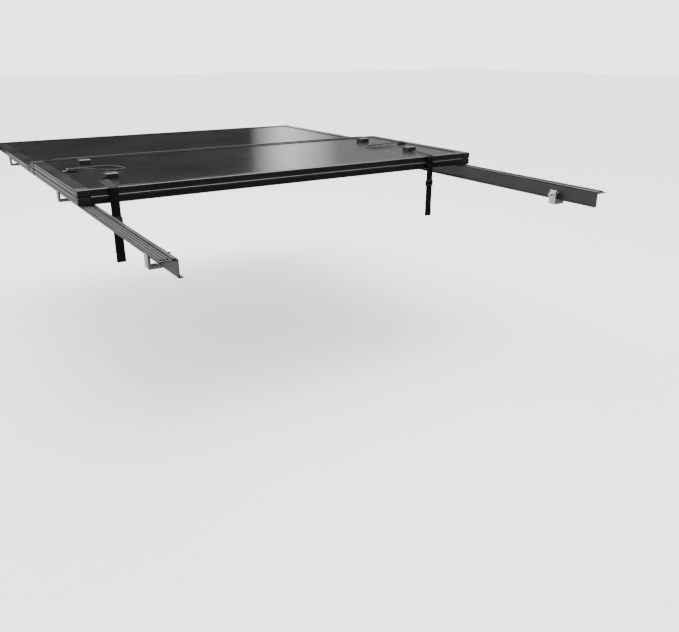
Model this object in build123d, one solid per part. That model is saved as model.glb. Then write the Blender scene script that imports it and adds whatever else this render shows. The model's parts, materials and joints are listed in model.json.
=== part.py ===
from build123d import *
import math
import os

# Hard tri-fold tonneau cover for a pickup bed, on clamp-on side rails.  The rear panel is stored
# folded forward onto the middle panel, underside up; the front panel lies flat behind the cab.
#
# Frame: +X to the truck's right, +Y towards the cab, +Z up.  Z = 0 is the top of the bed rails.
# The origin is the middle of the header seal's underside, where the cover sits on the bed's
# front wall.  Millimetres.

# ---- driving dimensions ----
cover_width = 1720.0          # over the corner caps
front_length = 882.0          # front panel, along Y
middle_length = 754.0
rear_length = 750.0
panel_thick = 25.0            # frame extrusions, top to bottom
seal_gap = 7.0                # bed rail top to panel underside
header_inset = 15.0           # panel front face to the middle of the header seal

skin_thick = 1.0
sheet_recess = 2.5            # extrusion flange: how far the skins lie below the frame's faces
side_strip = 45.0             # width of the side extrusions
end_strip = 38.0              # width of the front and rear extrusions
web_thick = 8.0               # outer wall of each extrusion
cap_size = 43.0               # corner cap, along X and Y
cap_proud = 1.5               # caps stand this far outside the extrusions
groove_width = 3.5            # decorative groove along each extrusion's outer face
groove_depth = 2.0
groove_height = 10.0          # groove centre above the panel's underside
outer_round = 2.8             # rounding of the extrusions' outer edges

knuckle_radius = 3.6
pin_radius = 1.5
pin_clearance = 0.05
knuckle_count = 24
knuckle_gap = 0.5
leaf_thick = 1.5
rear_pivot_gap = 4.0          # rear hinge axis to either panel's end face
stack_gap = 1.5               # between the tops of the middle and the folded rear panel
front_pivot_gap = 4.5         # front hinge axes to the panels' end faces
bridge_span = 52.0            # between the two axes of the front hinge
bridge_thick = 4.0
front_pivot_drop = 4.0        # front hinge axes below the panels' top face

rail_length = 2440.0
rail_wall = 2.5
rail_flange_out = 850.0       # outboard edge of the rail's top flange, from the centre plane
rail_leg_in = 800.0           # inboard face of the rail's hanging leg
rail_leg_thick = 3.0
rail_leg_depth = 48.0
rail_lip = 10.0               # stiffening lip at the foot of the leg
catch_in = 804.0              # the latch bolts hook under this lip on the flange
catch_out = 816.0
catch_wall = 1.8
catch_gap = 2.7               # flange to the underside of the catch lip
catch_lip_thick = 1.4
seal_clear = 0.2              # rail seal to the panels that lift off it

bracket_length = 40.0         # front panel's brackets, along Y
bracket_thick = 3.0
bracket_in = 756.0
bracket_depth = 35.0          # below the bed rail's top
bracket_bolt_x = 775.0
bracket_bolt_z = -18.0
bolt_radius = 3.0

clamp_count = 3               # on each rail
clamp_length = 30.0
clamp_wall = 8.0
clamp_jaw_gap = 15.0          # rail leg to outer jaw, where the bed's inner flange goes
clamp_depth = 66.0
clamp_jaw_top = 14.0
clamp_screw_radius = 4.0
clamp_screw_depth = 28.0

bumper_left_x = -690.0
bumper_right_x = 670.0
bumper_near = 200.0           # from the rear hinge end of the rear panel
bumper_far = 575.0
bumper_width = 50.0
bumper_length = 45.0
bumper_height = 21.0          # leaves 1.5 mm over the front panel when the stack is folded onto it
bumper_crown = 6.0            # rounding of the blocks' top edges
screw_radius = 2.0

strap_width = 32.0
strap_thick = 2.0
strap_fold_radius = 1.9
strap_left_edge = -742.0      # where each strap crosses the rear edge
strap_right_edge = 622.0
strap_left_root = -724.0      # where each strap goes under its rubber block
strap_right_root = 672.0
strap_root = 176.0            # from the rear hinge end
strap_end = 214.0             # its end, under the block
strap_bend_z = 0.0            # where the strap turns under the middle panel when it is stowed
strap_tail_length = 200.0     # from there to its free end
buckle_drop = 54.0
buckle_proud = 3.6

latch_station = 405.0         # latch centre, from the rear hinge end of the rear panel
latch_travel = 10.0
latch_outer = 799.3
latch_inner = 765.0
latch_half_width = 13.0
latch_low = 1.4               # underside of the latch case
bolt_half_width = 6.2
lug_low = -5.6
cord_diameter = 5.0
cord_low = -2.6               # middle of the cord where it leaves the bolt's lug, panel laid flat
cord_spread = 2.9             # each end of the pull cord from the lug's middle

# ---- derived places ----
half_width = cover_width / 2
strip_half = half_width - cap_proud
panel_bottom = seal_gap
panel_top = seal_gap + panel_thick
front_face = header_inset
front_back = front_face - front_length
front_pivot_z = panel_top - front_pivot_drop
pivot_a = front_back - front_pivot_gap                # front hinge axis on the front panel
pivot_b = pivot_a - bridge_span                       # front hinge axis on the middle panel
middle_front = pivot_b - front_pivot_gap
middle_back = middle_front - middle_length
rear_pivot_y = middle_back - rear_pivot_gap
rear_pivot_z = panel_top + stack_gap / 2
rear_front = rear_pivot_y - rear_pivot_gap            # rear panel's hinge end when laid flat
rear_back = rear_front - rear_length
hinge_half = half_width - cap_size - 2.0
rear_axis = Axis((0, rear_pivot_y, rear_pivot_z), (1, 0, 0))
stack_top = 2 * rear_pivot_z - panel_bottom           # folded rear panel's upturned underside
sheet_top = stack_top - sheet_recess                  # its skin, inside the frame strips
strap_axis_y = middle_back - 10.2                     # the straps turn down behind the hinge barrel
strap_axis_z = stack_top + strap_thick + 0.4
nose_low = rail_wall + 0.3                            # latch bolt's nose, under the rail's catch
nose_top = rail_wall + catch_gap - 0.3
lug_thick = 5.0
lug_half = 5.6
lug_x = latch_outer - 7.8                             # inboard face of the bolt's lug
cord_start = half_width - lug_x


def block(x0, x1, y0, y1, z0, z1):
    """A box from its lowest to its highest corner."""
    size = (abs(x1 - x0), abs(y1 - y0), abs(z1 - z0))
    return Pos((x0 + x1) / 2, (y0 + y1) / 2, (z0 + z1) / 2) * Box(*size)


def rod(start, end, radius):
    """A round bar between two points that lie along X or Z."""
    a, b = Vector(*start), Vector(*end)
    plane = Plane(origin=a, z_dir=(b - a).normalized())
    return extrude(plane * Circle(radius), (b - a).length)


def folded(shape):
    """Turn something built on the flat rear panel into its stored, folded place."""
    return shape.rotate(rear_axis, 180)


def along_rear(distance):
    """Y on the flat rear panel at a distance from its hinge end."""
    return rear_front - distance


def along_stack(distance):
    """Y on the folded rear panel at a distance from its hinge end."""
    return middle_back + distance


def mirrored(shape):
    return mirror(shape, about=Plane.YZ)


def save(name, *solids):
    """Write one node; several separate solids go in as a group."""
    shapes = [s for item in solids for s in (item.solids() if hasattr(item, "solids") else [item])]
    shape = shapes[0] if len(shapes) == 1 else Compound(children=shapes)
    export_step(shape, f"parts/{name}.step")


# ---- panels ----
def channel_profile(width, outer, facing):
    """Frame extrusion section: outer wall with a groove, and two flanges that grip the panel.

    Drawn as (across, z); outer is the across position of the outer face, facing is +1 when
    the flanges point towards +across.
    """
    z0, z1 = panel_bottom, panel_top
    slot0, slot1 = z0 + sheet_recess, z1 - sheet_recess
    groove0 = z0 + groove_height - groove_width / 2
    groove1 = groove0 + groove_width
    points = [
        (0, z0), (0, groove0), (groove_depth, groove0), (groove_depth, groove1), (0, groove1),
        (0, z1), (width, z1), (width, slot1), (web_thick, slot1), (web_thick, slot0),
        (width, slot0), (width, z0),
    ]
    outline = [(outer + facing * across, z) for across, z in points]
    section = make_face(Polyline(*outline, close=True))
    corners = [v for v in section.vertices() if abs(v.X - outer) < 0.01
               and (abs(v.Y - z0) < 0.01 or abs(v.Y - z1) < 0.01)]
    return fillet(corners, outer_round)


def end_extrusion(face_y, facing):
    """Extrusion along X; facing +1 when the panel lies towards +Y of it."""
    section = channel_profile(end_strip - cap_proud, face_y + facing * cap_proud, facing)
    length = half_width - cap_size
    plane = Plane(origin=(-length, 0, 0), x_dir=(0, 1, 0), z_dir=(1, 0, 0))
    return extrude(plane * section, 2 * length)


def side_extrusion(side, y0, y1):
    """Extrusion along Y between the corner caps; side is +1 on the right."""
    section = channel_profile(side_strip - cap_proud, side * strip_half, -side)
    plane = Plane(origin=(0, y1 - cap_size, 0), x_dir=(1, 0, 0), z_dir=(0, -1, 0))
    return extrude(plane * section, y1 - y0 - 2 * cap_size)


def sandwich_box(y0, y1, z0, z1):
    """Part of the panel's sandwich, which fills the extrusions' slots."""
    x = strip_half - web_thick
    inset = cap_proud + web_thick
    return block(-x, x, y0 + inset, y1 - inset, z0, z1)


def corner_cap(side, y0, y1, at_front):
    """Moulded corner with a pocket for the panel's corner."""
    x_out = side * half_width
    x_in = side * (half_width - cap_size)
    y_out = y1 if at_front else y0
    y_in = y_out - cap_size if at_front else y_out + cap_size
    cap = block(min(x_out, x_in), max(x_out, x_in), min(y_out, y_in), max(y_out, y_in),
                panel_bottom, panel_top)
    corner = cap.edges().filter_by(Axis.Z).sort_by(lambda e: abs(e.center().X - x_out)
                                                   + abs(e.center().Y - y_out))[0]
    cap = fillet(corner, 6.0)
    rims = [e for face in (cap.faces().sort_by(Axis.Z)[0], cap.faces().sort_by(Axis.Z)[-1])
            for e in face.edges()
            if abs(e.center().X - x_in) > 1 and abs(e.center().Y - y_in) > 1]
    cap = fillet(rims, 2.4)
    pocket = sandwich_box(y0, y1, panel_bottom + sheet_recess, panel_top - sheet_recess)
    return cap - pocket


def build_panel(name, y0, y1, place=lambda shape: shape, holes=()):
    """Sandwich, four extrusions and four caps of one panel, y0 rear and y1 front, laid flat."""
    low, high = panel_bottom + sheet_recess, panel_top - sheet_recess
    core = sandwich_box(y0, y1, low + skin_thick, high - skin_thick)
    under = sandwich_box(y0, y1, low, low + skin_thick)
    upper = sandwich_box(y0, y1, high - skin_thick, high)
    for hole in holes:
        core -= hole
        under -= hole
    save(f"{name}_panel_core", place(core))
    save(f"{name}_panel_skins", place(under), place(upper))
    save(f"{name}_panel_rear_extrusion", place(end_extrusion(y0, 1)))
    save(f"{name}_panel_front_extrusion", place(end_extrusion(y1, -1)))
    save(f"{name}_panel_left_extrusion", place(side_extrusion(-1, y0, y1)))
    save(f"{name}_panel_right_extrusion", place(side_extrusion(1, y0, y1)))
    caps = [place(corner_cap(side, y0, y1, front)) for side in (-1, 1) for front in (False, True)]
    save(f"{name}_panel_corner_caps", *caps)


# ---- hinges ----
def knuckle_spans(odd):
    """X spans of every other knuckle along a hinge."""
    pitch = 2 * hinge_half / knuckle_count
    return [(-hinge_half + pitch * i + knuckle_gap / 2, -hinge_half + pitch * (i + 1) - knuckle_gap / 2)
            for i in range(knuckle_count) if i % 2 == odd]


def knuckles(axis_y, axis_z, neck_y, neck_z0, neck_z1, odd):
    """Knuckles on one axis, each with its neck reaching to neck_y."""
    barrels = []
    for x0, x1 in knuckle_spans(odd):
        barrel = rod((x0, axis_y, axis_z), (x1, axis_y, axis_z), knuckle_radius)
        neck = block(x0, x1, min(axis_y, neck_y), max(axis_y, neck_y), neck_z0, neck_z1)
        bore = rod((x0 - 1, axis_y, axis_z), (x1 + 1, axis_y, axis_z), pin_radius + pin_clearance)
        barrels.append(barrel + neck - bore)
    return barrels


def leaf(axis_y, axis_z, face_y, facing, neck_z0, neck_z1, odd):
    """Hinge leaf let into a panel's end face; facing +1 when the panel lies towards +Y."""
    inner = face_y + facing * leaf_thick
    plate = block(-hinge_half, hinge_half, min(face_y, inner), max(face_y, inner),
                  panel_bottom + 12.5, panel_top - 2.0)
    return Part() + plate + knuckles(axis_y, axis_z, face_y + facing * 0.5, neck_z0, neck_z1, odd)


def hinge_pin(axis_y, axis_z):
    return rod((-hinge_half, axis_y, axis_z), (hinge_half, axis_y, axis_z), pin_radius)


def build_rear_hinge():
    neck0, neck1 = rear_pivot_z - knuckle_radius, rear_pivot_z - 0.55
    save("rear_hinge_leaf_middle",
         leaf(rear_pivot_y, rear_pivot_z, middle_back, 1, neck0, neck1, 0))
    save("rear_hinge_leaf_rear",
         folded(leaf(rear_pivot_y, rear_pivot_z, rear_front, -1, neck0, neck1, 1)))
    save("rear_hinge_pin", hinge_pin(rear_pivot_y, rear_pivot_z))


def build_front_hinge():
    z = front_pivot_z
    neck0, neck1 = z - bridge_thick / 2, z + bridge_thick / 2
    save("front_hinge_leaf_front", leaf(pivot_a, z, front_back, 1, neck0, neck1, 0))
    save("front_hinge_leaf_middle", leaf(pivot_b, z, middle_front, -1, neck0, neck1, 0))
    save("front_hinge_pin_front", hinge_pin(pivot_a, z))
    save("front_hinge_pin_middle", hinge_pin(pivot_b, z))
    clear = knuckle_radius + 0.7
    web = block(-hinge_half, hinge_half, pivot_b + clear, pivot_a - clear, neck0, neck1)
    arms = (knuckles(pivot_a, z, pivot_a - clear - 1, neck0, neck1, 1)
            + knuckles(pivot_b, z, pivot_b + clear + 1, neck0, neck1, 1))
    cheeks = [block(min(inner, outer), max(inner, outer), pivot_b + clear, pivot_a - clear,
                    panel_bottom + 2.0, neck1)
              for inner, outer in ((hinge_half - 6.0, strip_half), (6.0 - hinge_half, -strip_half))]
    save("front_hinge_bridge", Part() + web + arms + cheeks)


# ---- side rails, seals and clamps ----
def side_rail(side, bolt_holes):
    """Rail with a flange on the bed rail, a leg down inside the bed and a catch for the latches."""
    leg_out = rail_leg_in + rail_leg_thick
    foot = -rail_leg_depth
    catch_low = rail_wall + catch_gap
    catch_top = catch_low + catch_lip_thick
    rail_front = front_face - 5.0
    outline = [
        (rail_leg_in, rail_wall), (rail_leg_in, foot + rail_wall),
        (rail_leg_in - rail_lip, foot + rail_wall), (rail_leg_in - rail_lip, foot),
        (leg_out, foot), (leg_out, 0), (rail_flange_out, 0), (rail_flange_out, rail_wall),
        (catch_out, rail_wall), (catch_out, catch_top), (catch_in, catch_top),
        (catch_in, catch_low), (catch_out - catch_wall, catch_low), (catch_out - catch_wall, rail_wall),
    ]
    plane = Plane(origin=(0, rail_front, 0), x_dir=(1, 0, 0), z_dir=(0, -1, 0))
    rail = extrude(plane * make_face(Polyline(*outline, close=True)), rail_length)
    for hole in bolt_holes:
        rail -= hole
    return rail if side > 0 else mirrored(rail)


def rail_seal(side):
    """Ribbed rubber strip on the rail's flange, under the panels' side extrusions."""
    y0, y1 = rear_back + 20.0, front_face - 25.0
    strip = block(820.0, 848.0, y0, y1, rail_wall, rail_wall + 1.5)
    for x in (825.0, 834.0, 843.0):
        strip += block(x - 1.5, x + 1.5, y0, y1, rail_wall + 1.0, seal_gap - seal_clear)
    return strip if side > 0 else mirrored(strip)


def clamp_places():
    """Y of the clamps along each rail."""
    first, last = front_face - 160.0, front_face - rail_length + 180.0
    return [first + (last - first) * i / (clamp_count - 1) for i in range(clamp_count)]


def clamp_body(y):
    """C-shaped clamp around the rail's leg and the bed's inner flange."""
    y0, y1 = y - clamp_length / 2, y + clamp_length / 2
    jaw_in = rail_leg_in + rail_leg_thick + clamp_jaw_gap
    arm_out = rail_leg_in - 16.0
    arm_in = arm_out - clamp_wall
    arm = block(arm_in, arm_out, y0, y1, -clamp_depth, -clamp_jaw_top)
    web = block(arm_in, jaw_in + clamp_wall, y0, y1, -clamp_depth, -clamp_depth + clamp_wall)
    jaw = block(jaw_in, jaw_in + clamp_wall, y0, y1, -clamp_depth, -clamp_jaw_top)
    hole = rod((arm_in - 1, y, -clamp_screw_depth), (arm_out + 1, y, -clamp_screw_depth),
               clamp_screw_radius + 0.1)
    body = arm + web + jaw
    upright = [e for e in body.edges().filter_by(Axis.Y)
               if abs(e.center().Z + clamp_depth) < 0.1]
    return fillet(upright, 3.0) - hole


def clamp_screw(y):
    """Hex-headed screw with a swivel pad that presses on the rail's leg."""
    z = -clamp_screw_depth
    tip = rail_leg_in
    shank = rod((tip - 42.0, y, z), (tip - 3.0, y, z), clamp_screw_radius)
    pad = rod((tip - 3.0, y, z), (tip, y, z), 8.0)
    return shank + pad + hex_head((tip - 42.0, y, z), (1, 0, 0), 7.5, 6.0)


def panel_bracket(y):
    """Angle that joins the front panel's underside to the rail's leg."""
    y0, y1 = y - bracket_length / 2, y + bracket_length / 2
    skin = panel_bottom + sheet_recess
    leg = block(rail_leg_in - bracket_thick, rail_leg_in, y0, y1, -bracket_depth, skin)
    flange = block(bracket_in, rail_leg_in, y0, y1, skin - bracket_thick, skin)
    upright = [e for e in (leg + flange).edges().filter_by(Axis.Z) if e.center().X < bracket_in + 1]
    return fillet(upright, 6.0)


def hex_head(origin, direction, radius, height):
    return extrude(Plane(origin=origin, z_dir=direction) * RegularPolygon(radius, 6), height)


def build_rails():
    skin = panel_bottom + sheet_recess
    bracket_ys = [front_face - 95.0, front_back + 120.0]
    panel_holes = []
    rail_bolt_holes = []
    brackets = []
    bolts = []
    for y in bracket_ys:
        up0, up1 = (bracket_bolt_x, y, skin - bracket_thick), (bracket_bolt_x, y, panel_top - 10.0)
        out0 = (rail_leg_in - bracket_thick, y, bracket_bolt_z)
        out1 = (rail_leg_in + rail_leg_thick, y, bracket_bolt_z)
        panel_holes.append(rod(up0, up1, bolt_radius + pin_clearance))
        rail_bolt_holes.append(rod(out0, out1, bolt_radius + pin_clearance))
        brackets.append(panel_bracket(y) - panel_holes[-1] - rail_bolt_holes[-1])
        up_head = (bracket_bolt_x, y, skin - bracket_thick - 4.0)
        out_head = (rail_leg_in - bracket_thick - 4.0, y, bracket_bolt_z)
        bolts.append(rod(up0, up1, bolt_radius) + hex_head(up_head, (0, 0, 1), 5.6, 4.0))
        bolts.append(rod(out0, out1, bolt_radius) + hex_head(out_head, (1, 0, 0), 5.6, 4.0))
    save("front_panel_bolts", *bolts, *[mirrored(b) for b in bolts])
    save("front_panel_brackets", *brackets, *[mirrored(b) for b in brackets])
    save("side_rail_right", side_rail(1, rail_bolt_holes))
    save("side_rail_left", side_rail(-1, rail_bolt_holes))
    save("rail_seal_right", rail_seal(1))
    save("rail_seal_left", rail_seal(-1))
    bodies = [clamp_body(y) for y in clamp_places()]
    screws = [clamp_screw(y) for y in clamp_places()]
    save("rail_clamps_right", *bodies)
    save("rail_clamps_left", *[mirrored(b) for b in bodies])
    save("rail_clamp_screws", *screws, *[mirrored(s) for s in screws])
    save("header_seal", block(-770, 770, -10.0, 10.0, 0, panel_bottom))
    return panel_holes + [mirrored(h) for h in panel_holes]


# ---- rear panel's fittings, built where they lie when stored ----
def strap_flat(block_x, root_x, edge_x):
    """Webbing on the upturned underside, from under a rubber block up over the frame's strip."""
    half = strap_width / 2
    start, end = -6.0, strap_end
    middle = [(edge_x, start), (edge_x, 4.0), (root_x, strap_root), (block_x, end)]
    outline = [(x + half, along_stack(distance)) for x, distance in middle]
    outline += [(x - half, along_stack(distance)) for x, distance in reversed(middle)]
    plan = extrude(Plane(origin=(0, 0, sheet_top)) * make_face(Polyline(*outline, close=True)), 10.0)
    high, low = stack_top + 0.1, sheet_top + 0.1
    lower = [(start, high), (end_strip, high), (end_strip + 12.0, low), (end, low)]
    upper = [(distance, z + strap_thick) for distance, z in reversed(lower)]
    side = [(along_stack(distance), z) for distance, z in lower + upper]
    plane = Plane(origin=(-half_width, 0, 0), x_dir=(0, 1, 0), z_dir=(1, 0, 0))
    strip = plan & extrude(plane * make_face(Polyline(*side, close=True)), cover_width)
    y = along_stack(bumper_near)
    return strip - rod((block_x, y, sheet_top - 1), (block_x, y, stack_top), screw_radius + 0.1)


def bumper(x, distance, channel=None):
    """Rubber block that the folded stack rests on, with a sunk screw hole."""
    y = along_stack(distance)
    body = block(x - bumper_width / 2, x + bumper_width / 2, y - bumper_length / 2,
                 y + bumper_length / 2, sheet_top, sheet_top + bumper_height)
    body = fillet(body.edges().filter_by(Axis.Z), 7.0)
    body = fillet(body.faces().sort_by(Axis.Z)[-1].edges(), bumper_crown)
    body -= rod((x, y, sheet_top - 1), (x, y, sheet_top + bumper_height), screw_radius + 0.1)
    body -= rod((x, y, sheet_top + 8.0), (x, y, sheet_top + bumper_height + 1), 5.5)
    if channel is not None:
        body -= channel
    return body


def bumper_screw(x, distance):
    y = along_stack(distance)
    shank = rod((x, y, sheet_top - 12.0), (x, y, sheet_top + 8.0), screw_radius)
    return shank + rod((x, y, sheet_top + 8.0), (x, y, sheet_top + 11.0), 4.5)


def strap_upper(edge_x):
    """The webbing's turn over the rear edge, and its run down past the hinge barrel."""
    x0, x1 = edge_x - strap_width / 2, edge_x + strap_width / 2
    fold = rod((x0, strap_axis_y, strap_axis_z), (x1, strap_axis_y, strap_axis_z), strap_fold_radius)
    return fold + block(x0, x1, strap_axis_y, strap_axis_y + strap_thick, strap_bend_z + 1.4, strap_axis_z)


def strap_tail(edge_x):
    """The rest of the webbing, which turns on the upper run's lower end."""
    x0, x1 = edge_x - strap_width / 2, edge_x + strap_width / 2
    y = strap_axis_y + strap_thick / 2
    turn = rod((x0, y, strap_bend_z), (x1, y, strap_bend_z), strap_thick / 2)
    return turn + block(x0, x1, strap_axis_y, strap_axis_y + strap_thick,
                        strap_bend_z - strap_tail_length, strap_bend_z)


def strap_buckle(edge_x):
    """Ladder buckle: a moulded frame around the webbing with a window."""
    half = strap_width / 2 + 4.0
    y0, y1 = strap_axis_y - buckle_proud, strap_axis_y + strap_thick + buckle_proud
    middle = strap_bend_z - buckle_drop
    body = block(edge_x - half, edge_x + half, y0, y1, middle - 14.0, middle + 14.0)
    body = fillet(body.edges().filter_by(Axis.Y), 3.0)
    web = block(edge_x - strap_width / 2 - 0.1, edge_x + strap_width / 2 + 0.1, strap_axis_y,
                strap_axis_y + strap_thick, middle - 20.0, middle + 20.0)
    window = block(edge_x - 13.0, edge_x + 13.0, y0 - 1, strap_axis_y, middle - 9.0, middle + 2.0)
    return body - web - window


def latch_housing():
    """Slam-latch case under the rear panel's right side, on its skin, laid flat."""
    y = along_rear(latch_station)
    roof = panel_bottom + sheet_recess
    case = block(latch_inner, latch_outer, y - latch_half_width, y + latch_half_width, latch_low, roof)
    inboard = [e for e in case.edges().filter_by(Axis.Y) if e.center().Z < latch_low + 0.1
               and e.center().X < latch_inner + 1.0]
    case = chamfer(inboard, 3.0)
    case = fillet([e for e in case.edges().filter_by(Axis.Z) if e.center().X > latch_inner + 1.0], 3.0)
    wide = bolt_half_width + 0.2
    cavity = block(latch_inner + 2.0, latch_outer - 1.3, y - wide, y + wide, latch_low + 1.2, roof - 2.2)
    mouth = block(latch_outer - 2.0, latch_outer + 1.0, y - wide, y + wide, latch_low + 1.2, nose_top + 0.3)
    slot = block(lug_x - latch_travel - 0.3, lug_x + lug_thick + 0.6, y - lug_half - 0.3,
                 y + lug_half + 0.3, latch_low - 1.0, latch_low + 2.0)
    return case - cavity - mouth - slot


def latch_bolt():
    """Bolt with a nose that hooks under the rail's catch, and a lug for the pull cord."""
    y = along_rear(latch_station)
    y0, y1 = y - bolt_half_width, y + bolt_half_width
    body = block(latch_inner + 17.5, lug_x + lug_thick, y0, y1, nose_low, panel_bottom)
    nose = block(lug_x, catch_out - catch_wall - 2.0, y0, y1, nose_low, nose_top)
    tip = [e for e in nose.edges().filter_by(Axis.Y)
           if e.center().X > catch_in and e.center().Z < nose_low + 0.1]
    lug = block(lug_x, lug_x + lug_thick, y - lug_half, y + lug_half, lug_low, nose_low + 0.5)
    return body + chamfer(tip, 1.6) + lug


def latch_spring():
    """Coil spring behind the bolt."""
    y = along_rear(latch_station)
    start, end = latch_inner + 2.6, latch_inner + 16.9
    radius, wire, turns = 1.7, 0.5, 4
    helix = Helix(pitch=(end - start) / turns, height=end - start, radius=radius, direction=(1, 0, 0),
                  center=(start, y, nose_low + 2.1))
    section = Plane(origin=helix @ 0, z_dir=helix % 0) * Circle(wire)
    return sweep(section, path=helix)


def pull_cord(points):
    """Pull loop: a round cord from the bolt's lug, out over the panel and back."""
    corners = [Vector(*p) for p in points]
    radii = []
    for before, here, after in zip(corners, corners[1:], corners[2:]):
        turn = math.radians((here - before).get_angle(after - here))
        shorter = min((here - before).length, (after - here).length)
        radii.append(0.45 * shorter / math.tan(turn / 2))
    path = FilletPolyline(*points, radius=radii)
    tube = sweep(Plane(origin=path @ 0, z_dir=path % 0) * Circle(cord_diameter / 2), path=path)
    section = math.pi * (cord_diameter / 2) ** 2
    print("cord length", round(path.length, 1), "tightest radius", round(min(radii), 1),
          "volume ratio", round(tube.volume / (section * path.length), 4))
    return tube


def cord_route(side, reach):
    """Route of a pull cord; reach lists (in from the cover's side, along the stack, height)."""
    return [(side * (half_width - x), along_stack(y), sheet_top + z) for x, y, z in reach]


cord_height = 2 * rear_pivot_z - cord_low - sheet_top
left_reach = [
    (cord_start, latch_station + cord_spread, cord_height),
    (92, latch_station + cord_spread, cord_height), (116, 412, 11.6), (141, 420, 9.2),
    (166, 432, 8.6), (192, 443, 8.8), (218, 447, 7.2), (243, 441, 4.8), (262, 425, 3.4),
    (273, 402, 3.0), (274, 377, 3.1), (261, 357, 3.0), (237, 351, 3.3), (210, 357, 4.0),
    (184, 368, 5.4), (158, 381, 7.6), (131, 393, 10.4), (102, latch_station - cord_spread, cord_height),
    (cord_start, latch_station - cord_spread, cord_height),
]
right_reach = [
    (cord_start, latch_station + cord_spread, cord_height),
    (95, latch_station + cord_spread, cord_height), (122, 413, 10.8), (151, 420, 7.4),
    (181, 427, 5.0), (211, 432, 4.2), (240, 432, 3.8), (267, 423, 3.2), (287, 404, 3.0),
    (295, 378, 3.1), (286, 354, 3.0), (263, 343, 3.2), (234, 347, 4.0), (206, 358, 5.4),
    (178, 371, 7.6), (150, 384, 10.4), (124, 395, 12.2), (98, latch_station - cord_spread, cord_height),
    (cord_start, latch_station - cord_spread, cord_height),
]


def build_rear_fittings():
    flats = {"left": strap_flat(bumper_left_x, strap_left_root, strap_left_edge),
             "right": strap_flat(bumper_right_x, strap_right_root, strap_right_edge)}
    edges = {"left": strap_left_edge, "right": strap_right_edge}
    for side, flat in flats.items():
        save(f"strap_anchor_{side}", flat)
        save(f"strap_upper_{side}", strap_upper(edges[side]))
        save(f"strap_tail_{side}", strap_tail(edges[side]))
        save(f"strap_buckle_{side}", strap_buckle(edges[side]))
    save("rubber_blocks",
         bumper(bumper_left_x, bumper_near, flats["left"]),
         bumper(bumper_right_x, bumper_near, flats["right"]),
         bumper(bumper_left_x, bumper_far), bumper(bumper_right_x, bumper_far))
    places = [(x, d) for x in (bumper_left_x, bumper_right_x) for d in (bumper_near, bumper_far)]
    save("rubber_block_screws", *[bumper_screw(x, d) for x, d in places])
    for name, build in (("latch_housing", latch_housing), ("latch_bolt", latch_bolt),
                        ("latch_spring", latch_spring)):
        piece = folded(build())
        save(f"{name}_right", piece)
        save(f"{name}_left", mirrored(piece))
    save("pull_cord_left", pull_cord(cord_route(-1, left_reach)))
    save("pull_cord_right", pull_cord(cord_route(1, right_reach)))
    seal = block(-775, 775, rear_back + 6.0, rear_back + 18.0, panel_bottom - 2.6, panel_bottom)
    save("tailgate_seal", folded(seal))
    return [rod((x, along_stack(d), sheet_top - 12.5), (x, along_stack(d), sheet_top + 1),
                screw_radius + pin_clearance) for x, d in places]


os.makedirs("parts", exist_ok=True)
rail_holes = build_rails()
screw_holes = [folded(hole) for hole in build_rear_fittings()]
build_panel("front", front_back, front_face, holes=rail_holes)
build_panel("middle", middle_back, middle_front)
build_panel("rear", rear_back, rear_front, place=folded, holes=screw_holes)
build_front_hinge()
build_rear_hinge()
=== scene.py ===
import json
import math

import bpy
from mathutils import Matrix, Vector


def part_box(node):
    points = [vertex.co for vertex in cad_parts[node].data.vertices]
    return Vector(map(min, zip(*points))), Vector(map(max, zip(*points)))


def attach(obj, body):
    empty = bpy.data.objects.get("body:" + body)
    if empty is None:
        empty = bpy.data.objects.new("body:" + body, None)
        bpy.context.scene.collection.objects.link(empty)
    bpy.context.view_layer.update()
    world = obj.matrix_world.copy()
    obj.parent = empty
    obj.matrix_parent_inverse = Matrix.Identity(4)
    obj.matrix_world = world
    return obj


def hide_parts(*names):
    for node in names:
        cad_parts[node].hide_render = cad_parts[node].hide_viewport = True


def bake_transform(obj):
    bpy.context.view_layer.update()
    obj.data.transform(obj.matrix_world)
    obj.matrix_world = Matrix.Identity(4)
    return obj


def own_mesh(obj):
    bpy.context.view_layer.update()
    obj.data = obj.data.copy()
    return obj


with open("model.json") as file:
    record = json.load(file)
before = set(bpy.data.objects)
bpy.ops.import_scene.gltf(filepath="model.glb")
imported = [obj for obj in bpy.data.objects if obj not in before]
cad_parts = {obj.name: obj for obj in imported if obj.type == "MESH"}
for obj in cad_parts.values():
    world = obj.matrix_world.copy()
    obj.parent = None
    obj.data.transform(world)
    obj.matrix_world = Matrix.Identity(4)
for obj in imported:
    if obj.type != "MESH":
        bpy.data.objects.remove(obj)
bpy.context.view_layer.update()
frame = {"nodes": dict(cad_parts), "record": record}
nodes = frame["nodes"]

MM = 0.001

# ---------------------------------------------------------------- camera
CAMERA_PLACE = (-1.3866, -4.0812, 0.5018)
LOOK_TURN = 32.87          # degrees from +Y towards +X
LOOK_DOWN = 20.86
CAMERA_ROLL = 0.0032       # radians
LENS = 37.5

camera = bpy.data.objects.new("camera", bpy.data.cameras.new("camera"))
bpy.context.scene.collection.objects.link(camera)
camera.data.lens = LENS
camera.data.sensor_width = 36.0
camera.data.clip_end = 100.0
turn = Matrix.Rotation(math.radians(-LOOK_TURN), 4, "Z")
tilt = Matrix.Rotation(math.radians(90 - LOOK_DOWN), 4, "X")
camera.matrix_world = (Matrix.Translation(CAMERA_PLACE) @ turn @ tilt
                       @ Matrix.Rotation(CAMERA_ROLL, 4, "Z"))
bpy.context.scene.camera = camera


# ---------------------------------------------------------------- small helpers
def link(obj):
    bpy.context.scene.collection.objects.link(obj)
    return obj


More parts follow.
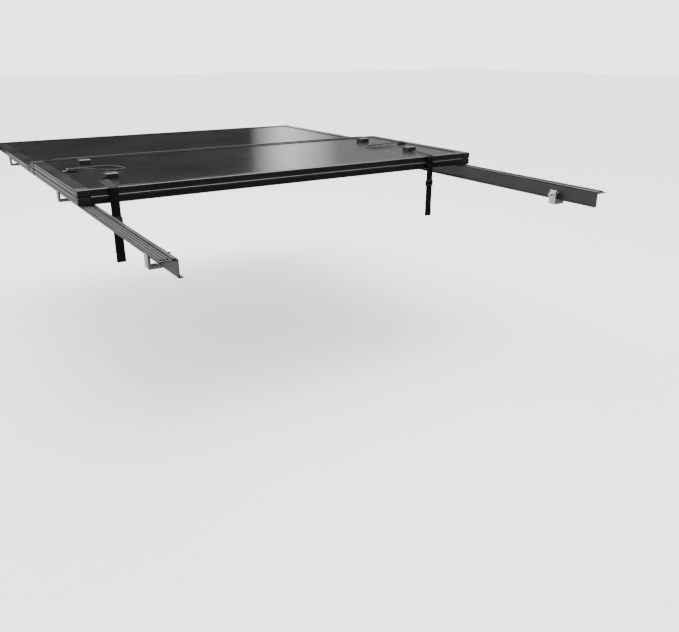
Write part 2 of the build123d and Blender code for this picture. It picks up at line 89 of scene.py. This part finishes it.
def mesh_object(name, verts, faces, material, smooth=True, uvs=None):
    """A mesh from lists of points and faces, in metres; uvs gives one pair for each point."""
    mesh = bpy.data.meshes.new(name)
    mesh.from_pydata([tuple(v) for v in verts], [], faces)
    mesh.polygons.foreach_set("use_smooth", [smooth] * len(mesh.polygons))
    if uvs:
        layer = mesh.uv_layers.new(name="UVMap")
        for loop in mesh.loops:
            layer.data[loop.index].uv = uvs[loop.vertex_index]
    mesh.materials.append(material)
    return link(bpy.data.objects.new(name, mesh))


def swept(line, section, up, closed=False):
    """Points, faces and (around, along) pairs of a section carried along a line.

    section(distance) lists (aside, upward) pairs, in metres, for each place along the line.
    """
    verts, faces, uvs = [], [], []
    count = len(line)
    distance = 0.0
    for i, here in enumerate(line):
        before = line[(i - 1) % count] if closed or i else here
        after = line[(i + 1) % count] if closed or i < count - 1 else here
        forward = (after - before).normalized()
        aside = forward.cross(up).normalized()
        above = aside.cross(forward)
        if i:
            distance += (here - line[i - 1]).length
        ring = section(distance)
        around = 0.0
        for j, (a, b) in enumerate(ring):
            if j:
                around += math.dist(ring[j - 1], (a, b))
            verts.append(here + aside * a + above * b)
            uvs.append((around, distance))
    size = len(ring)
    for i in range(count if closed else count - 1):
        for j in range(size):
            k, n = (j + 1) % size, (i + 1) % count
            faces.append((i * size + j, i * size + k, n * size + k, n * size + j))
    if not closed:
        faces.append(tuple(reversed(range(size))))
        faces.append(tuple((count - 1) * size + j for j in range(size)))
    return verts, faces, uvs


def swept_object(name, line, section, up, material):
    verts, faces, uvs = swept(line, section, up)
    return mesh_object(name, verts, faces, material, True, uvs)


def rounded_section(width, thick, radius, steps=3):
    """A rounded rectangle's outline as (aside, upward) pairs."""
    points = []
    for centre_a, centre_b, start in ((1, 1, 0), (-1, 1, 90), (-1, -1, 180), (1, -1, 270)):
        for step in range(steps + 1):
            angle = math.radians(start + 90 * step / steps)
            points.append((centre_a * (width / 2 - radius) + radius * math.cos(angle),
                           centre_b * (thick / 2 - radius) + radius * math.sin(angle)))
    return points


def joined(name, parts, material):
    """One mesh from several (points, faces, uvs) groups."""
    verts, faces, uvs = [], [], []
    for part_verts, part_faces, part_uvs in parts:
        start = len(verts)
        verts += part_verts
        uvs += part_uvs
        faces += [tuple(start + i for i in face) for face in part_faces]
    return mesh_object(name, verts, faces, material, True, uvs)


class Paint:
    """A material's node tree, with short calls for what the materials here share."""

    def __init__(self, name, colour, rough, metallic=0.0, specular=0.5):
        self.material = bpy.data.materials.new(name)
        self.material.use_nodes = True
        self.tree = self.material.node_tree
        self.shader = self.tree.nodes["Principled BSDF"]
        self.set("Base Color", (*colour, 1.0))
        self.set("Roughness", rough)
        self.set("Metallic", metallic)
        self.set("Specular IOR Level", specular)
        self.place = self.node("ShaderNodeTexCoord")
        self.height = None

    def node(self, kind, **values):
        made = self.tree.nodes.new(kind)
        for key, value in values.items():
            setattr(made, key, value)
        return made

    def set(self, socket, value):
        self.shader.inputs[socket].default_value = value

    def join(self, source, target):
        self.tree.links.new(source, target)

    def coordinates(self, stretch=(1, 1, 1), uv=False):
        mapping = self.node("ShaderNodeMapping")
        mapping.inputs["Scale"].default_value = stretch
        self.join(self.place.outputs["UV" if uv else "Object"], mapping.inputs["Vector"])
        return mapping.outputs["Vector"]

    def noise(self, scale, detail=3.0, stretch=(1, 1, 1), distortion=0.0):
        made = self.node("ShaderNodeTexNoise")
        made.inputs["Scale"].default_value = scale
        made.inputs["Detail"].default_value = detail
        made.inputs["Distortion"].default_value = distortion
        self.join(self.coordinates(stretch), made.inputs["Vector"])
        return made.outputs["Fac"]

    def cells(self, scale, stretch=(1, 1, 1), uv=False):
        made = self.node("ShaderNodeTexVoronoi")
        made.inputs["Scale"].default_value = scale
        self.join(self.coordinates(stretch, uv), made.inputs["Vector"])
        return made.outputs["Distance"]

    def math(self, operation, a, b=0.0):
        made = self.node("ShaderNodeMath", operation=operation)
        for socket, value in zip(made.inputs, (a, b)):
            if isinstance(value, (int, float)):
                socket.default_value = value
            else:
                self.join(value, socket)
        return made.outputs[0]

    def weave(self, across, along):
        """Crossing yarns on a piece whose UVs are in metres, with the given spacings."""
        split = self.node("ShaderNodeSeparateXYZ")
        turns = 2 * math.pi
        self.join(self.coordinates((turns / across, turns / along, 1), uv=True), split.inputs[0])
        wave_u = self.math("SINE", split.outputs["X"])
        wave_v = self.math("SINE", split.outputs["Y"])
        return self.math("MULTIPLY", wave_u, wave_v)

    def ranged(self, value, low, high, start=0.3, end=0.7):
        """value, from start to end, becomes low to high."""
        made = self.node("ShaderNodeMapRange")
        self.join(value, made.inputs["Value"])
        for name, number in (("From Min", start), ("From Max", end), ("To Min", low), ("To Max", high)):
            made.inputs[name].default_value = number
        return made.outputs["Result"]

    def colour(self, value, first, second):
        made = self.node("ShaderNodeMix", data_type="RGBA")
        self.join(value, made.inputs["Factor"])
        made.inputs["A"].default_value = (*first, 1.0)
        made.inputs["B"].default_value = (*second, 1.0)
        return made.outputs["Result"]

    def drive(self, socket, value):
        self.join(value, self.shader.inputs[socket])

    def bump(self, height, strength, distance):
        made = self.node("ShaderNodeBump")
        made.inputs["Strength"].default_value = strength
        made.inputs["Distance"].default_value = distance
        self.join(height, made.inputs["Height"])
        if self.height is not None:
            self.join(self.height, made.inputs["Normal"])
        self.height = made.outputs["Normal"]
        self.join(self.height, self.shader.inputs["Normal"])


# ---------------------------------------------------------------- materials
def coated_sheet():
    """Semi-gloss black coated aluminium sheet: faint orange peel, soft handling haze."""
    paint = Paint("coated_sheet", (0.02, 0.02, 0.021), 0.3)
    haze = paint.noise(3.0, 4.0, distortion=0.6)
    fine = paint.noise(55.0, 3.0)
    paint.drive("Roughness", paint.math("ADD", paint.ranged(haze, 0.20, 0.25),
                                        paint.ranged(fine, -0.01, 0.012)))
    paint.drive("Base Color", paint.colour(paint.ranged(haze, 0, 1), (0.012, 0.012, 0.012),
                                           (0.018, 0.0175, 0.017)))
    paint.bump(paint.noise(260.0, 2.0), 0.025, 0.0002)
    return paint.material


def powder_coat(name="powder_coat", dark=(0.014, 0.0135, 0.012), light=(0.022, 0.021, 0.019),
                rough=(0.26, 0.34)):
    """Satin black powder coat on extruded aluminium: pebbly grain, slight colour drift."""
    paint = Paint(name, dark, rough[0])
    drift = paint.noise(6.0, 5.0, distortion=0.3)
    paint.drive("Base Color", paint.colour(paint.ranged(drift, 0, 1), dark, light))
    paint.drive("Roughness", paint.ranged(drift, rough[0], rough[1]))
    paint.bump(paint.cells(1300.0), 0.06, 0.00025)
    return paint.material


def drawn_metal(name, dark, light, rough, stretch, scale=60.0):
    """Bare metal with drawing lines along one direction."""
    paint = Paint(name, dark, rough[0], metallic=1.0)
    lines = paint.noise(scale, 6.0, stretch=stretch)
    paint.drive("Base Color", paint.colour(paint.ranged(lines, 0, 1), dark, light))
    paint.drive("Roughness", paint.ranged(lines, rough[0], rough[1]))
    paint.bump(lines, 0.1, 0.0002)
    return paint.material


def moulded(name, dark, light, rough, grain=900.0, grain_strength=0.25):
    """Moulded plastic with a fine spark texture."""
    paint = Paint(name, dark, rough[0])
    drift = paint.noise(25.0, 4.0)
    paint.drive("Base Color", paint.colour(paint.ranged(drift, 0, 1), dark, light))
    paint.drive("Roughness", paint.ranged(drift, rough[0], rough[1]))
    paint.bump(paint.noise(grain, 2.0), grain_strength, 0.0003)
    return paint.material


def soft_rubber(name, dark, light, rough):
    """Rubber: dull, with a dusty bloom in patches."""
    paint = Paint(name, dark, rough[0], specular=0.4)
    bloom = paint.noise(40.0, 5.0, distortion=0.5)
    paint.drive("Base Color", paint.colour(paint.ranged(bloom, 0, 1), dark, light))
    paint.drive("Roughness", paint.ranged(bloom, rough[0], rough[1]))
    paint.bump(paint.noise(700.0, 3.0), 0.2, 0.0003)
    return paint.material


def woven(name, dark, light, across, along, relief):
    """Woven or braided yarn, in step with the piece's UVs."""
    paint = Paint(name, dark, 0.8, specular=0.12)
    yarn = paint.weave(across, along)
    drift = paint.noise(60.0, 3.0)
    # base colour darker in the weave's hollows and lighter on the yarn crests: painted shade; the noise adds
    # random tone
    shade = paint.math("ADD", paint.ranged(yarn, 0.0, 0.7, -1.0, 1.0), paint.ranged(drift, 0.0, 0.3))
    paint.drive("Base Color", paint.colour(shade, dark, light))
    paint.drive("Roughness", paint.ranged(yarn, 0.88, 0.7, -1.0, 1.0))
    paint.bump(yarn, 0.6, relief)
    paint.bump(paint.noise(2500.0, 2.0), 0.15, 0.0001)
    return paint.material


SHEET = coated_sheet()
FRAME_COAT = powder_coat()
RAIL_COAT = powder_coat("rail_coat", (0.016, 0.016, 0.016), (0.026, 0.0255, 0.025), (0.34, 0.45))
HINGE_COAT = powder_coat("hinge_coat", (0.012, 0.012, 0.012), (0.020, 0.0195, 0.019), (0.30, 0.42))
CAST = drawn_metal("cast_aluminium", (0.45, 0.45, 0.46), (0.62, 0.62, 0.63), (0.38, 0.52), (1, 1, 1), 180.0)
STEEL = drawn_metal("zinc_steel", (0.42, 0.42, 0.43), (0.62, 0.62, 0.62), (0.25, 0.38), (0.2, 1, 1), 400.0)
CAP = moulded("cap_plastic", (0.013, 0.013, 0.0135), (0.020, 0.0198, 0.019), (0.36, 0.46))
NYLON = moulded("nylon", (0.009, 0.009, 0.0095), (0.016, 0.016, 0.016), (0.35, 0.48))
CORE = moulded("foam_core", (0.20, 0.19, 0.17), (0.30, 0.29, 0.26), (0.8, 0.95), 300.0, 0.6)
RUBBER = soft_rubber("rubber", (0.012, 0.012, 0.012), (0.022, 0.0215, 0.021), (0.62, 0.75))
# a lighter copy of the seal rubber for the blocks: the paler base colour is painted sheen for the light on
# their tops; the patches are dust
SHEEN_BLOCK_RUBBER = soft_rubber("block_rubber_painted_sheen", (0.020, 0.020, 0.020), (0.034, 0.033, 0.032), (0.34, 0.44))
WEBBING = woven("webbing", (0.005, 0.005, 0.005), (0.017, 0.0165, 0.016), 0.0022, 0.0030, 0.0004)
THREAD = woven("stitching", (0.014, 0.014, 0.014), (0.034, 0.033, 0.032), 0.0008, 0.0012, 0.0002)
CORD = woven("cord", (0.032, 0.032, 0.030), (0.11, 0.107, 0.104), 0.0026, 0.0042, 0.0004)

SLOT_PAINT = {
    "panel_core": CORE, "panel_skin": SHEET, "frame_black": FRAME_COAT, "cap_plastic": CAP,
    "rail_black": RAIL_COAT, "clamp_aluminium": CAST, "steel": STEEL, "rubber": RUBBER,
    "webbing": WEBBING, "moulded_plastic": NYLON, "cord": CORD,
}
slot_of = {part["node"]: part["material_slot"] for part in frame["record"]["subparts"]}
for node_name, node in nodes.items():
    paint = SLOT_PAINT[slot_of[node_name]]
    if "hinge" in node_name and "pin" not in node_name:
        paint = HINGE_COAT
    elif node_name == "rubber_blocks":
        paint = SHEEN_BLOCK_RUBBER
    node.data.materials.clear()
    node.data.materials.append(paint)

# ---------------------------------------------------------------- places from the frame
SIDES = (("left", -1), ("right", 1))
STACK_LOW, STACK_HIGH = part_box("rear_panel_corner_caps")
STACK_REAR = STACK_LOW.y
HALF_WIDTH = STACK_HIGH.x
SHEET_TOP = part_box("rear_panel_skins")[1].z


def on_stack(side, inward, along, height):
    """A point in millimetres in from the cover's side, along the stack, and above its skin."""
    return Vector((side * (HALF_WIDTH - inward * MM), STACK_REAR + along * MM, SHEET_TOP + height * MM))


# ---------------------------------------------------------------- pull cords
CORD_DIAMETER = 0.005
LUG_IN = 68.5              # the cords leave the latch bolts' lugs here, in from the cover's side
LATCH_ALONG = 405.0
CORD_SPREAD = 2.9
CORD_HEIGHT = 12.1
FAR_END = LATCH_ALONG + CORD_SPREAD
NEAR_END = LATCH_ALONG - CORD_SPREAD
CORD_ROUTE = {
    "left": [
        (LUG_IN, FAR_END, CORD_HEIGHT), (92, FAR_END, CORD_HEIGHT), (116, 412, 11.6), (141, 420, 9.2),
        (166, 432, 8.6), (192, 443, 8.8), (218, 447, 7.2), (243, 441, 4.8), (262, 425, 3.4),
        (273, 402, 3.0), (274, 377, 3.1), (261, 357, 3.0), (237, 351, 3.3), (210, 357, 4.0),
        (184, 368, 5.4), (158, 381, 7.6), (131, 393, 10.4), (102, NEAR_END, CORD_HEIGHT),
        (LUG_IN, NEAR_END, CORD_HEIGHT),
    ],
    "right": [
        (LUG_IN, FAR_END, CORD_HEIGHT), (95, FAR_END, CORD_HEIGHT), (122, 413, 10.8), (151, 420, 7.4),
        (181, 427, 5.0), (211, 432, 4.2), (240, 432, 3.8), (267, 423, 3.2), (287, 404, 3.0),
        (295, 378, 3.1), (286, 354, 3.0), (263, 343, 3.2), (234, 347, 4.0), (206, 358, 5.4),
        (178, 371, 7.6), (150, 384, 10.4), (124, 395, 12.2), (98, NEAR_END, CORD_HEIGHT),
        (LUG_IN, NEAR_END, CORD_HEIGHT),
    ],
}


def spline_points(points):
    """The smooth line of an open NURBS spline with the given control points."""
    curve = bpy.data.curves.new("route", "CURVE")
    curve.dimensions = "3D"
    curve.resolution_u = 24
    spline = curve.splines.new("NURBS")
    spline.points.add(len(points) - 1)
    for control, point in zip(spline.points, points):
        control.co = (*point, 1.0)
    spline.order_u = 3
    spline.use_endpoint_u = True
    route = bpy.data.objects.new("route", curve)
    line = bpy.data.meshes.new_from_object(route)
    found = [v.co.copy() for v in line.vertices]
    bpy.data.objects.remove(route)
    bpy.data.curves.remove(curve)
    bpy.data.meshes.remove(line)
    return found


def braided(distance, radius=CORD_DIAMETER / 2, strands=8, pitch=0.016, sides=32):
    """A braided cord's outline: crossing bundles of yarn stand a little proud."""
    ring = []
    for k in range(sides):
        angle = 2 * math.pi * k / sides
        twist = 2 * math.pi * distance / pitch
        relief = math.sin(strands / 2 * (angle + twist)) * math.sin(strands / 2 * (angle - twist))
        r = radius * (0.965 + 0.035 * relief)
        ring.append((r * math.cos(angle), r * math.sin(angle)))
    return ring


def pull_cord(name, side):
    controls = [on_stack(side, *place) for place in CORD_ROUTE[name]]
    line = spline_points(controls)
    cord = swept_object(f"braided_cord_{name}", line, braided, Vector((0, 0, 1)), CORD)
    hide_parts(f"pull_cord_{name}")
    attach(cord, f"latch_{name}")


for name, side in SIDES:
    pull_cord(name, side)


# ---------------------------------------------------------------- stow straps
STRAP_WIDTH = 0.032
STRAP_THICK = 0.002
STRAP_ROUND = 0.0009
STRAP_BEND = 0.0050        # of the webbing's middle, where it turns down round the rear edge
ROOT_X = {"left": -0.724, "right": 0.672}   # where each strap goes under its rubber block
ROOT_ALONG = 0.176         # this and the next four places are along the stack, from its rear edge
FLAT_START = 0.004
ON_SKIN = ((0.056, 0.0001), (0.050, 0.0006))                       # with heights above the skin
ON_FRAME = ((0.044, -0.0007), (0.038, 0.0), (0.012, 0.0001))       # and above the frame's strip
ROOT_SEAM = (0.146, 0.164)
TAIL_TOP = 0.020           # where the hanging tail is joined on
HEM = (0.0015, 0.032)      # the folded end, above the tail's lower end
HEM_SEAM = (0.007, 0.027)
HEM_PROUD = 0.0021
SEAM_WIDTH = 0.022


def strap_section(distance):
    """Webbing's outline, with a small pucker along its selvedges."""
    pucker = 0.00025 * math.sin(distance * 2 * math.pi / 0.011)
    return rounded_section(STRAP_WIDTH + pucker, STRAP_THICK, STRAP_ROUND)


def even(points, step=0.002):
    """The same broken line with points about step apart."""
    made = [points[0]]
    for a, b in zip(points, points[1:]):
        count = max(1, round((b - a).length / step))
        made += [a.lerp(b, i / count) for i in range(1, count + 1)]
    return made


def stitch(centre, forward, up, length=0.0026, thick=0.0006):
    """One thread stitch lying on webbing."""
    line = [centre + forward * (t * length / 2) - up * (thick * 0.5 * t * t)
            for t in (-1, -0.6, 0, 0.6, 1)]

    def section(distance):
        share = min(1.0, 4.5 * min(distance, length - distance) / length + 0.35)
        reach = thick / 2 * share
        return [(reach * math.cos(a * math.pi / 3), reach * math.sin(a * math.pi / 3)) for a in range(6)]
    return swept(line, section, up)


def stitched_box(name, body, corner, across, along, up, length, spacing=0.0032):
    """A sewn box with a cross in it, as separate stitches that ride on a body."""
    width = SEAM_WIDTH
    corners = [corner, corner + across * width, corner + across * width + along * length,
               corner + along * length]
    runs = list(zip(corners, corners[1:] + corners[:1]))
    runs += [(corners[0], corners[2]), (corners[1], corners[3])]
    made = []
    for a, b in runs:
        count = max(2, round((b - a).length / spacing))
        forward = (b - a).normalized()
        made += [stitch(a.lerp(b, (i + 0.5) / count), forward, up) for i in range(count)]
    sewn = joined(name, made, THREAD)
    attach(sewn, body)


def strap_over_edge(name, edge_x, middle_y):
    """Webbing from under the rubber block over the frame's strip, round the rear edge and down."""
    anchor_low, anchor_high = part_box(f"strap_anchor_{name}")
    on_frame = anchor_high.z - STRAP_THICK / 2
    on_skin = anchor_low.z + STRAP_THICK / 2
    end_x = anchor_low.x + anchor_high.x - edge_x
    end_y, root_y, edge_y = anchor_high.y, STACK_REAR + ROOT_ALONG, STACK_REAR + FLAT_START

    def place(y, z):
        share = min(1.0, max(0.0, (y - edge_y) / (root_y - edge_y)))
        turned = max(0.0, (y - root_y) / (end_y - root_y))
        x = edge_x + (ROOT_X[name] - edge_x) * share + (end_x - ROOT_X[name]) * turned
        return Vector((x, y, z))

    profile = [(end_y, on_skin), (root_y, on_skin)]
    profile += [(STACK_REAR + along, on_skin + rise) for along, rise in ON_SKIN]
    profile += [(STACK_REAR + along, on_frame + rise) for along, rise in ON_FRAME]
    line = even([place(y, z) for y, z in profile])
    for step in range(13):
        angle = math.radians(90 * step / 12)
        line.append(Vector((edge_x, middle_y + STRAP_BEND - STRAP_BEND * math.sin(angle),
                            on_frame - STRAP_BEND + STRAP_BEND * math.cos(angle))))
    line += even([line[-1], Vector((edge_x, middle_y, TAIL_TOP))])[1:]
    upper = swept_object(f"strap_over_edge_{name}", line, strap_section, Vector((0, 0.5, 0.5)), WEBBING)
    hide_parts(f"strap_anchor_{name}", f"strap_upper_{name}")
    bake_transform(upper)

    seam_from, seam_to = (STACK_REAR + along for along in ROOT_SEAM)
    along = (place(seam_to, 0) - place(seam_from, 0)).normalized()
    across = along.cross(Vector((0, 0, 1)))
    corner = place(seam_from, on_skin + STRAP_THICK / 2) - across * (SEAM_WIDTH / 2)
    stitched_box(f"strap_root_stitching_{name}", "rear_panel", corner, across, along, Vector((0, 0, 1)),
                 seam_to - seam_from)


def strap_hanging(name, edge_x, middle_y, low_z):
    """The hanging tail, its end folded back on itself and sewn."""
    down = Vector((0, 1, 0))

    def run(high, low, y):
        return even([Vector((edge_x, y, high)), Vector((edge_x, y, low))])

    tail = swept_object(f"strap_hanging_{name}", run(TAIL_TOP, low_z + 0.001, middle_y), strap_section,
                        down, WEBBING)
    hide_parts(f"strap_tail_{name}")
    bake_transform(tail)

    hem = swept_object(f"strap_hem_{name}", run(low_z + HEM[1], low_z + HEM[0], middle_y - HEM_PROUD),
                       strap_section, down, WEBBING)
    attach(hem, f"strap_tail_{name}")
    corner = Vector((edge_x - SEAM_WIDTH / 2, middle_y - HEM_PROUD - STRAP_THICK / 2, low_z + HEM_SEAM[0]))
    stitched_box(f"strap_hem_stitching_{name}", f"strap_tail_{name}", corner, Vector((1, 0, 0)),
                 Vector((0, 0, 1)), Vector((0, -1, 0)), HEM_SEAM[1] - HEM_SEAM[0])


def build_strap(name):
    tail_low, tail_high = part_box(f"strap_tail_{name}")
    edge_x = (tail_low.x + tail_high.x) / 2
    middle_y = (tail_low.y + tail_high.y) / 2
    strap_over_edge(name, edge_x, middle_y)
    strap_hanging(name, edge_x, middle_y, tail_low.z)


def capsule(a, b, width, thick, up, sides=12):
    """A rounded bar from a to b with an oval section."""
    length = (b - a).length
    forward = (b - a).normalized()
    steps = [0.0, 0.02, 0.08, 0.5, 0.92, 0.98, 1.0]
    line = [a + forward * (length * t) for t in steps]

    def section(distance):
        end = min(distance, length - distance) / (width / 2)
        share = math.sqrt(max(0.12, 1 - max(0.0, 1 - end) ** 2))
        return [(width / 2 * share * math.cos(2 * math.pi * k / sides),
                 thick / 2 * share * math.sin(2 * math.pi * k / sides)) for k in range(sides)]
    return swept(line, section, up)


BUCKLE_BAR = 0.0040        # the ring's thickness
BUCKLE_CORNER = 0.004
CROSS_BARS = (             # height, place front to back, width and thickness
    (0.0065, -0.0028, 0.0042, 0.0022), (-0.0010, 0.0028, 0.0040, 0.0022), (-0.0080, -0.0028, 0.0042, 0.0022))
TAB_RIBS = 4
TAB_Y = -0.0034


def build_buckle(name):
    """Ladder buckle: a rounded ring, cross bars that grip the webbing, and a ribbed thumb tab."""
    low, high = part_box(f"strap_buckle_{name}")
    centre = (low + high) / 2
    half_x, half_z = (high.x - low.x) / 2 - 0.0022, (high.z - low.z) / 2 - 0.0022
    ring = [centre + Vector((x, 0, z)) for x, z in rounded_section(2 * half_x, 2 * half_z, BUCKLE_CORNER, 5)]
    back = Vector((0, 1, 0))
    frame_section = rounded_section(BUCKLE_BAR, (high.y - low.y) * 0.5, 0.0014)
    parts = [swept(ring, lambda distance: frame_section, back, closed=True)]

    def bar(reach, y, z, width, thick, sides=12):
        parts.append(capsule(centre + Vector((-reach, y, z)), centre + Vector((reach, y, z)),
                             width, thick, back, sides))

    for z, y, width, thick in CROSS_BARS:
        bar(half_x - 0.0005, y, z, width, thick)
    for k in range(TAB_RIBS):
        bar(0.009 - 0.002 * k, TAB_Y, 0.0022 + 0.0011 * k - half_z, 0.0010, 0.0012, 8)
    buckle = joined(f"ladder_buckle_{name}", parts, NYLON)
    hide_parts(f"strap_buckle_{name}")
    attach(buckle, f"strap_tail_{name}")


for name, side in SIDES:
    build_strap(name)
    build_buckle(name)


# ---------------------------------------------------------------- latch springs
SPRING_WIRE = 0.0005       # its radius
SPRING_TURNS = 4
POINTS_PER_TURN = 30


def build_spring(name):
    """Round-wire coil, built at one length in the latch spring's box."""
    low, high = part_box(f"latch_spring_{name}")
    centre_y, centre_z = (low.y + high.y) / 2, (low.z + high.z) / 2
    radius = (high.z - low.z) / 2 - SPRING_WIRE
    length = high.x - low.x - 2 * SPRING_WIRE
    count = SPRING_TURNS * POINTS_PER_TURN
    line = [Vector((low.x + SPRING_WIRE + length * i / count,
                    centre_y + radius * math.sin(2 * math.pi * i / POINTS_PER_TURN),
                    centre_z + radius * math.cos(2 * math.pi * i / POINTS_PER_TURN)))
            for i in range(count + 1)]
    wire = [(SPRING_WIRE * math.cos(math.pi * k / 4), SPRING_WIRE * math.sin(math.pi * k / 4))
            for k in range(8)]
    spring = swept_object(f"coil_spring_{name}", line, lambda distance: wire, Vector((1, 0, 0)), STEEL)
    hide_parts(f"latch_spring_{name}")
    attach(spring, "rear_panel")
    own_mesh(spring)


for name, side in SIDES:
    build_spring(name)


# ---------------------------------------------------------------- stage
FLOOR_Z = -0.75
FLOOR_HALF = 30.0
FLOOR_GLOW = 1.0
CARD_Y = 0.25              # cards where a cab would stand
CARD_LEFT, CARD_RIGHT = -1.6, 4.0
CARD_HEIGHTS = (-0.05, 0.25, 1.70)
GAP = (0.70, 0.95, 1.02, 1.40)   # the cards clear, then close again, from left to right
BEYOND_GAP = 0.80
GLINT_HALF = 3.0
GLINT_Y = (-2.6, 0.6)
GLINT_Z = 3.4
GLINT_GLOW = 14.0
SKY_AHEAD, SKY_BEHIND = 2.0, 0.38
SHARE_BELOW, SHARE_OVERHEAD = 0.42, 1.5
BACKDROP = 3.2             # the surroundings' brightness where the camera sees them
RAYS = ("camera", "diffuse", "glossy", "shadow", "transmission", "volume_scatter")


def plane(name, x, y, z, paint, rays):
    """A flat stage piece between two corners, flat or upright, seen only by the named rays."""
    corners = [(x[0], y[0], z[0]), (x[1], y[0], z[0]), (x[1], y[1], z[1]), (x[0], y[1], z[1])]
    made = mesh_object(name, corners, [(0, 1, 2, 3)], paint, False)
    for ray in RAYS:
        setattr(made, f"visible_{ray}", ray in rays)


def glowing(name, dark, light, rough, strength):
    """Plain plastic that also gives off an even white light."""
    material = moulded(name, dark, light, rough, 20.0, 0.0)
    sockets = material.node_tree.nodes["Principled BSDF"].inputs
    sockets["Emission Color"].default_value = (1, 1, 1, 1)
    sockets["Emission Strength"].default_value = strength
    return material


def card_paint(name, dark, light):
    """Dull card, clearing towards the gap beside the cab and closing again beyond it."""
    paint = Paint(name, dark, 0.9, specular=0.0)
    split = paint.node("ShaderNodeSeparateXYZ")
    paint.join(paint.coordinates(), split.inputs[0])
    side = split.outputs["X"]
    drift = paint.noise(6.0, 2.0)
    paint.drive("Base Color", paint.colour(paint.ranged(drift, 0, 1), dark, light))
    paint.drive("Alpha", paint.math("ADD", paint.ranged(side, 1, 0, GAP[0], GAP[1]),
                                    paint.ranged(side, 0, BEYOND_GAP, GAP[2], GAP[3])))
    return paint.material


floor_paint = glowing("floor_paint", (0.86, 0.86, 0.86), (0.90, 0.90, 0.90), (0.6, 0.7), FLOOR_GLOW)
plane("floor", (-FLOOR_HALF, FLOOR_HALF), (-FLOOR_HALF, FLOOR_HALF), (FLOOR_Z, FLOOR_Z), floor_paint,
      ("camera", "shadow"))
for name, low, high, dark, light in (
        ("dark_card", CARD_HEIGHTS[1], CARD_HEIGHTS[2], (0.004, 0.004, 0.004), (0.006, 0.006, 0.006)),
        ("grey_card", CARD_HEIGHTS[0], CARD_HEIGHTS[1], (0.03, 0.03, 0.03), (0.04, 0.04, 0.04))):
    plane(name, (CARD_LEFT, CARD_RIGHT), (CARD_Y, CARD_Y), (low, high),
          card_paint(f"{name}_paint", dark, light), ("glossy",))
# a bright sheet overhead, seen only as the glint along rounded edges
glint_paint = glowing("glint_paint", (0.5, 0.5, 0.5), (0.6, 0.6, 0.6), (0.8, 0.9), GLINT_GLOW)
plane("glint_sheet", (-GLINT_HALF, GLINT_HALF), GLINT_Y, (GLINT_Z, GLINT_Z), glint_paint, ("glossy",))


def studio_world():
    """Pale surroundings: bright ahead of the camera and overhead, dim behind it and below."""
    world = bpy.data.worlds.new("studio")
    bpy.context.scene.world = world
    world.use_nodes = True
    tree = world.node_tree
    background = tree.nodes["Background"]
    background.inputs["Color"].default_value = (0.97, 0.98, 1.0, 1)

    def made(kind, **values):
        node = tree.nodes.new(kind)
        for key, value in values.items():
            setattr(node, key, value)
        return node

    def ramp(source, start, end, low, high):
        node = made("ShaderNodeMapRange", interpolation_type="SMOOTHSTEP")
        tree.links.new(source, node.inputs["Value"])
        for key, value in (("From Min", start), ("From Max", end), ("To Min", low), ("To Max", high)):
            node.inputs[key].default_value = value
        return node.outputs["Result"]

    def product(a, b):
        node = made("ShaderNodeMath", operation="MULTIPLY")
        tree.links.new(a, node.inputs[0])
        tree.links.new(b, node.inputs[1])
        return node.outputs[0]

    split = made("ShaderNodeSeparateXYZ")
    tree.links.new(made("ShaderNodeTexCoord").outputs["Generated"], split.inputs[0])
    ahead = ramp(split.outputs["Y"], -0.75, 0.45, SKY_BEHIND, SKY_AHEAD)
    above = ramp(split.outputs["Z"], -0.25, 0.05, SHARE_BELOW, 1.0)
    overhead = ramp(split.outputs["Z"], 0.35, 0.95, 1.0, SHARE_OVERHEAD)
    mix = made("ShaderNodeMix")
    tree.links.new(made("ShaderNodeLightPath").outputs["Is Camera Ray"], mix.inputs["Factor"])
    tree.links.new(product(product(ahead, above), overhead), mix.inputs["A"])
    mix.inputs["B"].default_value = BACKDROP
    tree.links.new(mix.outputs["Result"], background.inputs["Strength"])


def softbox(name, place, aim, size, power):
    light = bpy.data.lights.new(name, "AREA")
    light.shape = "RECTANGLE"
    light.size, light.size_y = size
    light.energy = power
    lamp = link(bpy.data.objects.new(name, light))
    lamp.location = place
    lamp.rotation_euler = (Vector(aim) - Vector(place)).to_track_quat("-Z", "Y").to_euler()


studio_world()
softbox("overhead", (0.2, -0.2, 3.2), (0, -1.2, 0), (4.0, 3.0), 170.0)
